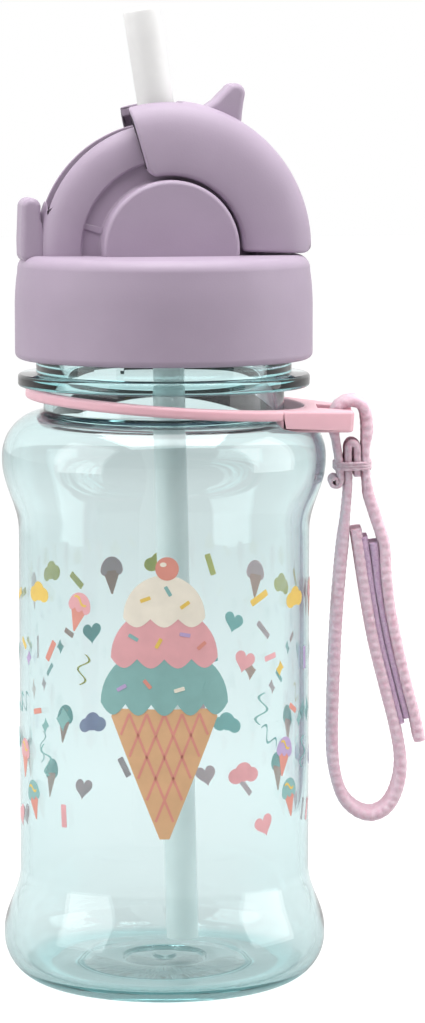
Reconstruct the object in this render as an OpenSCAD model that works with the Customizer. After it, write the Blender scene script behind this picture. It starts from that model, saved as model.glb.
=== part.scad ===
// Kids straw bottle: clear bottle, screw lid with a swinging straw cover, carry ring and wrist strap.
// Millimetres. +Z up, origin on the underside at the bottle's axis. X runs along the lid's arch.

/* [Bottle] */
// Radius of the base and shoulder bulges
bulge_r = 35.6; // [35:0.1:36.4]
// Radius of the straight waist
waist_r = 32; // [31.2:0.1:32.4]
// Wall thickness of the clear body
wall_t = 2; // [1.6:0.1:2.2]
// Thickness of the floor
floor_t = 3.4; // [3:0.1:4]
// Outer radius of the transfer flange under the lid
flange_r = 32; // [31.6:0.1:32.4]

/* [Screw] */
// Outer radius of the neck above the flange
neck_r = 28; // [27.9:0.05:28.1]
// Rise of the thread in one turn
lead = 15; // [14:0.5:16]
// How far each thread ridge runs round the neck, in degrees
ridge_span = 110; // [90:5:112]

/* [Lid] */
// Outer radius of the collar
collar_r = 32.6; // [32.4:0.1:33.2]
// Outer radius of the fixed arch
arch_r = 28; // [27.6:0.1:28.2]
// Radius of the round hub
hub_r = 14.9; // [14.5:0.1:15]
// Half width of the slot that the straw folds into
slot_half = 4.6; // [4.5:0.05:4.8]

/* [Cover] */
// Outer radius of the swinging cover
cover_r = 32; // [31.8:0.1:32.4]
// Half width of the cover over its cheeks
cover_half = 10.3; // [10.1:0.1:10.8]
// Angle from the trailing edge to the leading edge, in degrees
cover_span = 106; // [104:1:107]

/* [Straw] */
// Outer radius of the soft mouthpiece
mouth_r = 4; // [3.9:0.05:4.1]
// Outer radius of the stiff lower straw
straw_r = 3.55; // [3.4:0.05:3.55]
// Lean of the mouthpiece towards the catch, in degrees
mouth_lean = 9; // [7:0.5:10]

/* [Ring and strap] */
// Turn of the ring and strap about the bottle from the arch's line, in degrees
ring_turn = -9; // [-30:1:30]
// Tilt of the ring, lower at its lug, in degrees
ring_tilt = 3.9; // [3.5:0.1:4.1]
// Inner radius of the ring
ring_r = 29.15; // [29:0.05:29.4]
// Width of the webbing
tape_w = 10; // [8:0.5:10.4]
// Thickness of the webbing
tape_t = 1.7; // [1.5:0.05:1.8]

/* [Hidden] */
$fn = 96;
gap = 0.3;                      // room between pieces that move past each other
aqua = [0.78, 0.90, 0.89, 0.5];
lavender = [0.73, 0.67, 0.74];
silicone = [0.90, 0.90, 0.88];
pink = [0.94, 0.78, 0.82];
webbing = [0.88, 0.75, 0.81];
purple = [0.67, 0.48, 0.65];

// Bottle heights and radii
base_edge_r = 10;               // corner radius of base and shoulder
low_curve_top = 25;             // the base bulge meets the waist here
high_curve_low = 100;           // the waist meets the shoulder bulge here
shoulder_z = 116.5;             // widest point of the shoulder
throat_r = 26.4;                // neck below the flange
flange_z = 131.8;
flange_t = 2.8;
rim_z = 152.3;
foot_groove_r = 18.5;           // moulded ring in the underside

// Screw thread, three starts
starts = 3;
ridge_h = 1.35;
ridge_root_w = 2.2;
ridge_crest_w = 1.2;
ridge_z = 142.2;                // middle of a neck ridge at its low end
ridge_drop = 1.9;               // the lid's ridges lie this far under the neck's
ridge_steps = 22;
ridge_sink = 0.35;              // how far a ridge's foot is set into its wall

// Lid
collar_z = 137.8;
deck_z = 160.5;
seat_z = 154.8;                 // the seal's seat
cavity_top = 158.3;
skirt_r = neck_r + ridge_h + 0.35;
seat_r = 23.5;
arch_z = 162;                   // centre of hub, arch and cover
arch_in_r = 19;
arch_half = 7.5;
hub_half = 12.2;
web_half = 6;                   // sunken web between hub and arch
rib_proud = 0.3;
slot_left = -26;
slot_right = 5.6;
tab_half = 5;
valve_y = 17.6;

// Cover
cover_in_r = 29.4;
cheek_in_half = 8;
lip_half = 6.4;
cheek_in_r = 15.8;
lip_out_r = 18.5;
shoulder_round = 3.2;
notch_half = 5.3;
notch_root = 84;
cover_low = -2.2;                // angle of the trailing edge
horn_half = 4.3;

// Straw
pivot_x = 1;
pivot_z = 176;
mid_len = 15.6;
tip_len = 22.8;
mouth_bore = 2.7;
socket_z = 146;
straw_x = 0.6;                  // where the lower straw meets the socket's middle
straw_lean = 1.4;
straw_top = 154;
straw_len = 146;

// Ring and its lug
ring_z = 128.4;
ring_shift = 1.45;
ring_t = 2.7;
ring_h = 2.3;
lug_end = 41.5;
lug_drop = 3.5;                 // underside of the lug, below the ring's middle plane
lug_root = 24.2;                // the lug's sides leave the ring here
lug_root_half = 20.9;
lug_corner = 3;
lug_corner_y = 7.8;
lug_slot_in = 33.6;
lug_slot_out = 39.7;
lug_slot_half = 5.6;
bar_top = 0.35;                 // the webbing's bar is a little lower than the lug

// Webbing routes as [distance from the axis, height]
eye_route = [[38.2, 109], [38.4, 112], [38.5, 115], [37.9, 119], [37.45, 123], [38.4, 126.6],
    [41.1, 128.1], [43.4, 126.8], [44.1, 123], [44.1, 118], [44.2, 113.4], [44.5, 109]];
curl_at = [37.9, 108.8];        // rolled end of the eye's tape
curl_r = 1.25;
fold_route = [[42.35, 112], [42.35, 119.2]];
fold_top = [[39.5, 118.9], [43.2, 118.9]];
loop_route = [[40.35, 119.2], [40.35, 110], [39.8, 102.5],
    [38.7, 91], [37.9, 80], [37.4, 68], [37.1, 56], [37.5, 47.5], [39.3, 41], [42.4, 37.6], [46, 36.6],
    [49.4, 38.4], [51.6, 42.8], [52.3, 48.5], [51.2, 55.5], [48.9, 64.5], [46.3, 75], [44.3, 86],
    [42.9, 95], [42.1, 100.4]];
tail_route = [[44.8, 106.9], [46.2, 102.5], [47.9, 97], [48.3, 91], [49.2, 83], [50.9, 74.5], [52.9, 66],
    [54.9, 58.5], [56, 53.2]];
hook_route = [[43.6, 98.6], [44.25, 95.2], [45.75, 86.1], [47.8, 75.2], [50.3, 65.1], [52.3, 57.2]];
pad_route = [[46.0, 97.4], [46.45, 94], [47.2, 86.6], [49.28, 75.2], [51.6, 65.9], [53.5, 58.4]];
hook_t = 1.2;
pad_t = 1.2;
pad_w = 9;
tie_z = 114.2;

// Points along an arc from angle a0 to a1
function arc(c, r, a0, a1, n = 8) =
    [for (i = [0:n]) let (a = a0 + (a1 - a0) * i / n) c + r * [cos(a), sin(a)]];

// Smooth swing of radius between two heights
function swing(r0, z0, r1, z1, n = 10) =
    [for (i = [0:n]) [r0 + (r1 - r0) * (1 - cos(180 * i / n)) / 2, z0 + (z1 - z0) * i / n]];

// A smooth curve through hand-set points
function between(p0, p1, p2, p3, t) = 0.5 * (2 * p1 + (p2 - p0) * t
    + (2 * p0 - 5 * p1 + 4 * p2 - p3) * t * t + (3 * p1 - p0 - 3 * p2 + p3) * t * t * t);
function smooth_route(p, n = 3) = let (last = len(p) - 1) concat(
    [for (i = [0:last - 1], k = [0:n - 1])
        between(p[max(i - 1, 0)], p[i], p[i + 1], p[min(i + 2, last)], k / n)],
    [p[last]]);
function heading(p, i) = let (d = p[min(i + 1, len(p) - 1)] - p[max(i - 1, 0)]) d / norm(d);

// Outline of a ring sector with rounded corners: [inner start, outer start, outer end, inner end]
function sector_corner(r, round, side, inner) =
    let (reach = inner ? r + round : r - round) [sqrt(reach * reach - round * round), side * round];
function turned(p, a) = [p[0] * cos(a) - p[1] * sin(a), p[0] * sin(a) + p[1] * cos(a)];
function sector(r0, r1, a0, a1, c) =
    let (os = sector_corner(r1, c[1], 1, false), oe = sector_corner(r1, c[2], -1, false),
         is = sector_corner(r0, c[0], 1, true), ie = sector_corner(r0, c[3], -1, true),
         a_os = atan2(os[1], os[0]), a_is = atan2(is[1], is[0]),
         a_oe = atan2(oe[1], oe[0]), a_ie = atan2(ie[1], ie[0]))
    concat(
        [for (p = arc(os, c[1], -90, a_os, 5)) turned(p, a0)],
        arc([0, 0], r1, a0 + a_os + 2, a1 + a_oe - 2, 30),
        [for (p = arc(oe, c[2], a_oe, 90, 5)) turned(p, a1)],
        [for (p = arc(ie, c[3], 90, 180 + a_ie, 5)) turned(p, a1)],
        arc([0, 0], r0, a1 + a_ie - 2, a0 + a_is + 2, 24),
        [for (p = arc(is, c[0], 180 + a_is, 270, 5)) turned(p, a0)]);

// Turns a shape drawn in X and Y to stand in X and Z, with its thickness along Y
module upright(half) {
    rotate([90, 0, 0]) linear_extrude(height = 2 * half, center = true) children();
}

// One helical ridge. profile is [radius, height] points, anticlockwise
module ridge(profile, z0, turn) {
    n = len(profile);
    points = [for (i = [0:ridge_steps], p = profile)
        let (a = ridge_span * i / ridge_steps, z = z0 + lead * a / 360 + p[1])
        [p[0] * cos(a + turn), p[0] * sin(a + turn), z]];
    sides = [for (i = [0:ridge_steps - 1], k = [0:n - 1])
        let (a = i * n + k, b = i * n + (k + 1) % n) each [[a, b, b + n], [a, b + n, a + n]]];
    low_end = [[3, 2, 1], [3, 1, 0]];
    e = ridge_steps * n;
    high_end = [[e, e + 1, e + 2], [e, e + 2, e + 3]];
    polyhedron(points = points, faces = concat(sides, low_end, high_end), convexity = 6);
}

module neck_thread() {
    crest = neck_r + ridge_h;
    foot = neck_r - ridge_sink;
    for (k = [0:starts - 1])
        ridge([[foot, -ridge_root_w / 2], [crest, -ridge_crest_w / 2],
            [crest, ridge_crest_w / 2], [foot, ridge_root_w / 2]], ridge_z, 360 * k / starts);
}

module lid_thread() {
    crest = skirt_r - ridge_h;
    foot = skirt_r + ridge_sink;
    for (k = [0:starts - 1])
        ridge([[crest, -ridge_crest_w / 2], [foot, -ridge_root_w / 2],
            [foot, ridge_root_w / 2], [crest, ridge_crest_w / 2]], ridge_z - ridge_drop, 360 * k / starts);
}

// Outside of the bottle less a skin of thickness t, from the foot to the throat
function body_side(t) = concat(
    arc([bulge_r - base_edge_r, base_edge_r], base_edge_r - t, -90, 0, 10),
    swing(bulge_r - t, base_edge_r + 1, waist_r - t, low_curve_top),
    swing(waist_r - t, high_curve_low, bulge_r - t, shoulder_z - 1),
    arc([bulge_r - base_edge_r, shoulder_z], base_edge_r - t, 0, 85, 10));

module bottle_body() color(aqua) {
    inside_throat = throat_r - wall_t;
    inside_neck = neck_r - 2.5;
    union() {
        difference() {
            rotate_extrude() polygon(concat([[0, 0], [foot_groove_r - 1, 0], [foot_groove_r - 0.6, 0.6],
                [foot_groove_r + 0.6, 0.6], [foot_groove_r + 1, 0]], body_side(0),
                [[throat_r, 126.6], [throat_r, flange_z]],
                arc([flange_r - 0.7, flange_z + 0.7], 0.7, -90, 0, 4),
                arc([flange_r - 0.7, flange_z + flange_t - 0.7], 0.7, 0, 90, 4),
                [[neck_r, flange_z + flange_t]],
                arc([neck_r - 0.6, rim_z - 0.6], 0.6, 0, 90, 4), [[0, rim_z]]));
            rotate_extrude() polygon(concat([[0, floor_t + 0.5], [16, floor_t + 0.5], [17, floor_t],
                [bulge_r - base_edge_r, floor_t]],
                [for (p = body_side(wall_t)) if (p[1] > floor_t + 0.4) p],
                [[inside_throat, 124.7], [inside_throat, flange_z + flange_t],
                [inside_neck, flange_z + flange_t + 2], [inside_neck, rim_z + 1], [0, rim_z + 1]]));
        }
        neck_thread();
    }
}

// Outline of the collar and deck in radius and height, open below
module collar() {
    rotate_extrude() polygon(concat([[skirt_r, collar_z]],
        arc([collar_r - 1.4, collar_z + 1.4], 1.4, -90, 0, 5),
        [[collar_r, 150], [collar_r - 0.2, 154.4], [collar_r - 0.6, 157.6]],
        arc([collar_r - 2.9, deck_z - 2.3], 2.3, 10, 90, 6),
        [[0, deck_z], [0, cavity_top], [seat_r, cavity_top], [seat_r, seat_z], [skirt_r, seat_z]]));
}

// A disc on the arch's axis with rounded rims
module arch_disc(r, half, round) {
    rotate([90, 0, 0]) rotate_extrude() polygon(concat([[0, -half]],
        arc([r - round, -half + round], round, -90, 0, 4),
        arc([r - round, half - round], round, 0, 90, 4), [[0, half]]));
}

module arch_block() {
    difference() {
        union() {
            arch_disc(arch_r, arch_half, 0.9);
            arch_disc(hub_r, hub_half, 0.9);
        }
        for (s = [-1, 1])
            translate([0, s * (web_half + 5), 0]) rotate([90, 0, 0]) difference() {
                cylinder(r = arch_in_r, h = 10, center = true);
                cylinder(r = hub_r, h = 11, center = true);
            }
        translate([-40, -20, -60 - arch_z + cavity_top + 0.2]) cube([80, 40, 60]);
    }
    // detent ribs in the groove near the catch, just clear of the cover's lips
    for (s = [-1, 1])
        rotate([0, -165, 0]) translate([hub_r - 0.4, s * (web_half + rib_proud - 0.8) - 0.8, -0.7])
            cube([4.5, 1.6, 1.4]);
}

// Catch tab with its lip, side view
module catch_side() {
    polygon(concat([[-26.2, -2.4], [-26.2, 3], [-27.6, 6.6]], arc([-29.6, 8.9], 2.1, 10, 170, 7),
        [[-31.7, 4], [-31.9, -1.2], [-31.6, -2.4]]));
}

module lid_shell() color(lavender) {
    difference() {
        union() {
            collar();
            lid_thread();
            translate([0, 0, arch_z]) arch_block();
            translate([0, 0, arch_z]) upright(tab_half) catch_side();
        }
        translate([slot_left, -slot_half, deck_z]) cube([slot_right - slot_left, 2 * slot_half, 40]);
        translate([pivot_x, 0, 150]) cylinder(r = mouth_r + 0.1, h = 20);
        translate([0, valve_y, 150]) cylinder(r = 1.7, h = 20);
        translate([0, valve_y, deck_z - 1]) cylinder(r = 3.1, h = 5);
    }
}

module lid_seal() color(silicone) {
    rotate_extrude() polygon([[25, rim_z + 0.05], [27.4, rim_z + 0.05], [27.4, rim_z + 0.5], [29.3, rim_z + 0.5],
        [29.3, seat_z - 0.05], [24.2, seat_z - 0.05], [24.2, seat_z - 1.2]]);
}

module air_valve() color(silicone) {
    translate([0, valve_y, 0]) {
        translate([0, 0, deck_z - 0.95]) cylinder(r = 2.95, h = 1.25);
        translate([0, 0, cavity_top - 1.6]) cylinder(r = 1.6, h = deck_z - cavity_top + 0.9);
        translate([0, 0, cavity_top - 1.7]) cylinder(r1 = 1.9, r2 = 2.5, h = 1.6);
        translate([0, 0, cavity_top - 4.4]) cylinder(r1 = 0.8, r2 = 1.5, h = 2.8);
    }
}

// Half of the cover's section in radius and half width
function cover_section() = concat(
    arc([cover_r - shoulder_round, cover_half - shoulder_round], shoulder_round, 0, 90, 7),
    [[cheek_in_r, cover_half - 0.6], [cheek_in_r, lip_half], [lip_out_r, lip_half], [lip_out_r, cheek_in_half]],
    arc([cover_in_r - 2, cheek_in_half - 2], 2, 90, 0, 5));
function mirrored(p) = [for (i = [len(p) - 1:-1:0]) [p[i][0], -p[i][1]]];

// Thumb horn on the cover, side view
module horn_side() {
    polygon(concat([[6.5, 29.5], [8.8, 30.6], [10.6, 31.6], [12.2, 33.6], [13.7, 35.1]],
        arc([15.6, 33.5], 2, 130, 0, 7), [[17.5, 30], [17.6, 27.6], [18.6, 25.2]]));
}

module slide_cover() color(lavender) {
    sweep = cover_span + 20;
    translate([0, 0, arch_z]) {
        difference() {
            intersection() {
                rotate([0, 10, 0]) rotate([90, 0, 0]) rotate_extrude(angle = sweep)
                    polygon(concat(cover_section(), mirrored(cover_section())));
                upright(cover_half + 1) polygon(sector(cheek_in_r - 0.2, cover_r + 0.4, cover_low, cover_span,
                    [1.2, 3, 1.2, 3]));
                translate([-50, -50, deck_z + gap - arch_z]) cube([100, 100, 60]);
            }
            upright(notch_half) polygon([[0, 0], turned([45, 0], notch_root), turned([60, 0], 100),
                turned([45, 0], cover_span + 8)]);
        }
        upright(horn_half) horn_side();
    }
}

// A tube with its bore, standing on z = 0
module tube(r, bore, h) {
    difference() {
        cylinder(r = r, h = h);
        translate([0, 0, -1]) cylinder(r = bore, h = h + 2);
    }
}

// A length of mouthpiece with a ball at its lower pivot
module hinged_length(h) {
    difference() {
        union() {
            sphere(r = mouth_r);
            cylinder(r = mouth_r, h = h);
        }
        translate([0, 0, -10]) cylinder(r = mouth_bore, h = h + 20);
    }
}

module mouthpiece_root() color(silicone) {
    neck_top = pivot_z - mouth_r - 0.1;
    difference() {
        union() {
            translate([pivot_x, 0, 150]) cylinder(r = mouth_r, h = neck_top - 150);
            translate([pivot_x, 0, cavity_top - 1.7]) cylinder(r = 7.6, h = 1.6);
            translate([straw_x, 0, 150]) rotate([0, -straw_lean, 0])
                translate([0, 0, socket_z - 150]) cylinder(r = 5.2, h = cavity_top - 0.6 - socket_z);
        }
        translate([straw_x, 0, 150]) rotate([0, -straw_lean, 0])
            translate([0, 0, -10]) cylinder(r = straw_r + 0.05, h = straw_top - 150 + 10.1);
        translate([pivot_x, 0, 150]) cylinder(r = mouth_bore, h = 40);
    }
}

module mouthpiece_mid() color(silicone) {
    translate([pivot_x, 0, pivot_z]) rotate([0, -mouth_lean, 0])
        hinged_length(mid_len - mouth_r - 0.1);
}

module mouthpiece_tip() color(silicone) {
    translate([pivot_x, 0, pivot_z]) rotate([0, -mouth_lean, 0])
        translate([0, 0, mid_len]) hinged_length(tip_len);
}

module lower_straw() color(silicone) {
    translate([straw_x, 0, 150]) rotate([0, -straw_lean, 0]) difference() {
        translate([0, 0, straw_top - 150 - straw_len]) tube(straw_r, straw_r - 0.8, straw_len);
        translate([-6, -6, straw_top - 150 - straw_len - 8]) rotate([0, 25, 0]) cube([20, 12, 8]);
    }
}

// Ring frame: turned round the bottle, then tilted down at the lug
module ring_frame() {
    rotate([0, 0, ring_turn]) translate([0, 0, ring_z]) rotate([0, ring_tilt, 0])
        translate([ring_shift, 0, 0]) children();
}

// The bottle's shoulder and the room that the lug leaves over it
module shoulder_room() {
    room_r = base_edge_r + gap;
    rotate_extrude() polygon(concat([[0, 105], [bulge_r + gap, 105]],
        arc([bulge_r - base_edge_r, shoulder_z], room_r, 0, 88, 12), [[0, shoulder_z + room_r]]));
}

// Lug seen from above, drawn in from the ring's sides to a blunt end
module lug_outline(reach) {
    side = atan2(lug_root_half - lug_corner_y, reach - lug_corner - lug_root) - 90;
    polygon(concat([[lug_root - 3, -lug_root_half + 2], [lug_root, -lug_root_half]],
        arc([reach - lug_corner, -lug_corner_y], lug_corner, side, 0, 6),
        arc([reach - lug_corner, lug_corner_y], lug_corner, 0, -side, 6),
        [[lug_root, lug_root_half], [lug_root - 3, lug_root_half - 2]]));
}

module carry_ring() color(pink) {
    slot_in = lug_slot_in - ring_shift;
    slot_out = lug_slot_out - ring_shift;
    difference() {
        ring_frame() difference() {
            union() {
                rotate_extrude() polygon(concat([[ring_r, -ring_h / 2]],
                    arc([ring_r + ring_t - 0.6, -ring_h / 2 + 0.6], 0.6, -90, 0, 4),
                    arc([ring_r + ring_t - 0.6, ring_h / 2 - 0.6], 0.6, 0, 90, 4),
                    [[ring_r, ring_h / 2]]));
                translate([0, 0, -lug_drop]) linear_extrude(height = lug_drop + ring_h / 2)
                    lug_outline(lug_end - ring_shift);
            }
            translate([0, 0, -10]) cylinder(r = ring_r, h = 20);
            translate([slot_in, -lug_slot_half, -10]) cube([slot_out - slot_in, 2 * lug_slot_half, 20]);
            translate([slot_in, -lug_slot_half, bar_top]) cube([20, 2 * lug_slot_half, 5]);
        }
        shoulder_room();
    }
}

// Webbing along a route in the strap's plane
module tape(route, thick, width) {
    p = smooth_route(route);
    left = [for (i = [0:len(p) - 1]) p[i] + thick / 2 * [-heading(p, i)[1], heading(p, i)[0]]];
    right = [for (i = [len(p) - 1:-1:0]) p[i] - thick / 2 * [-heading(p, i)[1], heading(p, i)[0]]];
    rotate([0, 0, ring_turn]) upright(width / 2) polygon(concat(left, right));
}

module strap_eye() color(webbing) {
    tape(eye_route, tape_t, tape_w);
    rotate([0, 0, ring_turn]) upright(tape_w / 2) translate(curl_at) circle(r = curl_r);
}

// The loop's inner end is folded back on itself inside the bundle
module strap_loop() color(webbing) {
    tape(loop_route, tape_t, tape_w);
    tape(fold_route, tape_t, tape_w);
    tape(fold_top, 0.7, tape_w);
}

module strap_tail() color(webbing) tape(tail_route, tape_t, tape_w);
module hook_pad() color(purple) tape(hook_route, hook_t, pad_w);
module loop_pad() color(purple) tape(pad_route, pad_t, pad_w);

// Two turns of thread round the bundle
module strap_tie() color(webbing) {
    out_x = 4.3;
    rotate([0, 0, ring_turn]) for (k = [-1, 1]) translate([41.35, 0, tie_z + 0.55 * k - 0.45]) difference() {
        translate([-out_x, -tape_w / 2 - 0.9, 0]) cube([2 * out_x, tape_w + 1.8, 0.9]);
        translate([-out_x + 0.55, -tape_w / 2 - 0.1, -1]) cube([2 * out_x - 1.1, tape_w + 0.2, 4]);
    }
}

bottle_body();
lid_shell();
lid_seal();
air_valve();
slide_cover();
mouthpiece_root();
mouthpiece_mid();
mouthpiece_tip();
lower_straw();
carry_ring();
strap_eye();
strap_loop();
strap_tie();
hook_pad();
strap_tail();
loop_pad();
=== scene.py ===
import bpy, bmesh, math
from mathutils import Matrix, Vector


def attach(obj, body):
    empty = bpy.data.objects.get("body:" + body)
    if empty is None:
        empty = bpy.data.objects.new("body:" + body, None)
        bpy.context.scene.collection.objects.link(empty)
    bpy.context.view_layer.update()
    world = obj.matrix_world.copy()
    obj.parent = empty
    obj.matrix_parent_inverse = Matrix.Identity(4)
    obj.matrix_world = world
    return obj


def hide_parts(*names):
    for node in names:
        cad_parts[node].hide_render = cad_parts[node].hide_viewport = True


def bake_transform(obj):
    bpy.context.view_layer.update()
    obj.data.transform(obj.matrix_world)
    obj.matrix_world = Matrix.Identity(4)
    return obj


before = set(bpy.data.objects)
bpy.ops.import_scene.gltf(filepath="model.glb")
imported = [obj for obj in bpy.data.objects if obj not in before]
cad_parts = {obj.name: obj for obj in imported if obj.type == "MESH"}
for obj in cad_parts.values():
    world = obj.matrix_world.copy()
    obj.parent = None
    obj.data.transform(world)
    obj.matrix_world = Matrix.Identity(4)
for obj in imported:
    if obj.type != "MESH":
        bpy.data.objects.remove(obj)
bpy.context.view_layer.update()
scene = bpy.context.scene
mm = 0.001
rad = math.radians

# camera: level with the lid, a little left of the bottle's front
cameraSet = {"azimuth": -9.0, "distance": 860, "height": 199, "pitch": 6.31, "pan": 0.71, "lens": 138.3,
             "sensor": 36, "near": 0.05, "far": 20}
azimuth = rad(cameraSet["azimuth"])
cameraData = bpy.data.cameras.new("camera")
cameraData.lens = cameraSet["lens"]
cameraData.sensor_width = cameraSet["sensor"]
cameraData.clip_start = cameraSet["near"]
cameraData.clip_end = cameraSet["far"]
camera = bpy.data.objects.new("camera", cameraData)
reach = cameraSet["distance"] * mm
camera.location = (math.sin(azimuth) * reach, -math.cos(azimuth) * reach, cameraSet["height"] * mm)
camera.rotation_euler = (rad(90 - cameraSet["pitch"]), 0, azimuth - rad(cameraSet["pan"]))
scene.collection.objects.link(camera)
scene.camera = camera

# studio: white room, darker in front of the bottle, a white floor and two soft boxes
studioSet = {"room": 0.97, "front": 0.07, "frontFrom": -0.35, "frontTo": 0.8, "sideWatts": 3.5,
             "topWatts": 9.6, "sideSize": (0.6, 0.9), "topSize": (0.8, 0.7), "floor": (0.35, 0.35, 0.35, 1),
             "floorReach": 4, "floorRough": 0.8, "floorGloss": 0.1, "glowFrom": -0.15, "glowTo": 0.25,
             "glowBehind": 0.45, "glowInFront": 0.1, "glowSeen": 0.76}

def whenSeen(tree, unseen, seen, goal):
    path = tree.nodes.new("ShaderNodeLightPath")        # one strength for the camera, another for the light
    pick = tree.nodes.new("ShaderNodeMix")
    pick.inputs["B"].default_value = seen
    tree.links.new(path.outputs["Is Camera Ray"], pick.inputs["Factor"])
    tree.links.new(unseen, pick.inputs["A"])
    tree.links.new(pick.outputs["Result"], goal)

def makeRoom(s):
    world = bpy.data.worlds.new("studio")
    scene.world = world
    world.use_nodes = True
    tree = world.node_tree
    back = tree.nodes["Background"]
    back.inputs["Color"].default_value = (1, 1, 1, 1)
    place = tree.nodes.new("ShaderNodeTexCoord")
    towards = tree.nodes.new("ShaderNodeVectorMath")
    towards.operation = "DOT_PRODUCT"
    towards.inputs[1].default_value = (math.sin(azimuth), -math.cos(azimuth), 0)
    fall = tree.nodes.new("ShaderNodeMapRange")
    fall.interpolation_type = "SMOOTHSTEP"
    fall.inputs["From Min"].default_value = s["frontFrom"]
    fall.inputs["From Max"].default_value = s["frontTo"]
    fall.inputs["To Min"].default_value = s["room"]
    fall.inputs["To Max"].default_value = s["front"]
    tree.links.new(place.outputs["Generated"], towards.inputs[0])
    tree.links.new(towards.outputs["Value"], fall.inputs["Value"])
    whenSeen(tree, fall.outputs["Result"], 1.0, back.inputs["Strength"])

def softBox(name, place, aim, size, watts):
    light = bpy.data.lights.new(name, "AREA")
    light.energy = watts
    light.shape = "RECTANGLE"
    light.size, light.size_y = size
    box = bpy.data.objects.new(name, light)
    box.location = place
    box.rotation_euler = (Vector(aim) - Vector(place)).to_track_quat("-Z", "Y").to_euler()
    scene.collection.objects.link(box)

def makeFloor(s):
    bm = bmesh.new()
    bmesh.ops.create_grid(bm, x_segments=1, y_segments=1, size=s["floorReach"])
    mesh = bpy.data.meshes.new("floor")
    bm.to_mesh(mesh)
    bm.free()
    floor = bpy.data.objects.new("floor", mesh)
    scene.collection.objects.link(floor)
    material = bpy.data.materials.new("whiteFloor")
    material.use_nodes = True
    tree = material.node_tree
    paint = tree.nodes["Principled BSDF"]
    paint.inputs["Base Color"].default_value = s["floor"]
    paint.inputs["Roughness"].default_value = s["floorRough"]
    paint.inputs["Specular IOR Level"].default_value = s["floorGloss"]
    paint.inputs["Emission Color"].default_value = (1, 1, 1, 1)
    place = tree.nodes.new("ShaderNodeTexCoord")
    along = tree.nodes.new("ShaderNodeVectorMath")
    along.operation = "DOT_PRODUCT"
    along.inputs[1].default_value = (-math.sin(azimuth), math.cos(azimuth), 0)
    glow = tree.nodes.new("ShaderNodeMapRange")         # the floor glows behind the bottle, less in front
    glow.inputs["From Min"].default_value = s["glowFrom"]
    glow.inputs["From Max"].default_value = s["glowTo"]
    glow.inputs["To Min"].default_value = s["glowInFront"]
    glow.inputs["To Max"].default_value = s["glowBehind"]
    tree.links.new(place.outputs["Object"], along.inputs[0])
    tree.links.new(along.outputs["Value"], glow.inputs["Value"])
    whenSeen(tree, glow.outputs["Result"], s["glowSeen"], paint.inputs["Emission Strength"])
    mesh.materials.append(material)

makeRoom(studioSet)
makeFloor(studioSet)
softBox("boxLeft", (-0.75, -0.25, 0.35), (0, 0, 0.12), studioSet["sideSize"], studioSet["sideWatts"])
softBox("boxRight", (0.75, -0.2, 0.35), (0, 0, 0.12), studioSet["sideSize"], studioSet["sideWatts"])
softBox("boxTop", (0, -0.15, 0.9), (0, 0, 0.15), studioSet["topSize"], studioSet["topWatts"])
scene.view_settings.view_transform = "Standard"
print("studio ready")

# shared modelling steps; shapes are drawn in millimetres and scaled when a piece is finished
doubles = 1e-4

def arc(cx, cy, r, a0, a1, n=8):
    steps = [rad(a0 + (a1 - a0) * i / n) for i in range(n + 1)]
    return [(cx + r * math.cos(a), cy + r * math.sin(a)) for a in steps]

def swing(r0, z0, r1, z1, n=16):
    turn = [(1 - math.cos(math.pi * i / n)) / 2 for i in range(n + 1)]
    return [(r0 + (r1 - r0) * t, z0 + (z1 - z0) * i / n) for i, t in enumerate(turn)]

def turned(p, degrees):
    c, s = math.cos(rad(degrees)), math.sin(rad(degrees))
    return (p[0] * c - p[1] * s, p[0] * s + p[1] * c)

def thin(outline, room=doubles):
    kept = [outline[0]]
    for p in outline[1:]:
        if math.dist(p, kept[-1]) > room:
            kept.append(p)
    return kept

def spun(outline, axis="Z", lift=0, steps=144, closed=False):
    bm = bmesh.new()
    outline = thin(outline)
    place = (lambda p: (p[0], 0, p[1])) if axis == "Z" else (lambda p: (p[0], p[1], lift))
    verts = [bm.verts.new(place(p)) for p in outline]
    edges = [bm.edges.new(pair) for pair in zip(verts, verts[1:])]
    if closed:
        edges.append(bm.edges.new((verts[-1], verts[0])))
    turn = (0, 0, 1) if axis == "Z" else (0, 1, 0)
    bmesh.ops.spin(bm, geom=verts + edges, cent=(0, 0, lift if axis == "Y" else 0), axis=turn,
                   angle=2 * math.pi, steps=steps, use_merge=True)
    bmesh.ops.remove_doubles(bm, verts=bm.verts, dist=doubles)
    bmesh.ops.recalc_face_normals(bm, faces=bm.faces)
    return bm

def whole(bm):
    return bm.verts[:] + bm.edges[:] + bm.faces[:]

def thicken(bm, faces, vec):
    grown = bmesh.ops.extrude_face_region(bm, geom=faces)
    bmesh.ops.translate(bm, vec=vec, verts=[v for v in grown["geom"] if isinstance(v, bmesh.types.BMVert)])

def slab(outline, half, lift=0):
    bm = bmesh.new()                                    # an outline in X and Z, thick along Y
    face = bm.faces.new([bm.verts.new((p[0], -half, p[1] + lift)) for p in thin(outline)])
    thicken(bm, [face], (0, 2 * half, 0))
    bmesh.ops.recalc_face_normals(bm, faces=bm.faces)
    return bm

def plate(outline, low, high):
    bm = bmesh.new()                                    # an outline in X and Y, thick along Z
    face = bm.faces.new([bm.verts.new((p[0], p[1], low)) for p in thin(outline)])
    thicken(bm, [face], (0, 0, high - low))
    bmesh.ops.recalc_face_normals(bm, faces=bm.faces)
    return bm

def softened(bm, width, segments, clamp=True):
    edges = [e for e in bm.edges if not e.is_contiguous or e.calc_face_angle(0) > rad(60)]
    bmesh.ops.bevel(bm, geom=edges, offset=width, offset_type="OFFSET", affect="EDGES", segments=segments,
                    profile=0.5, clamp_overlap=clamp, material=-1)

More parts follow.
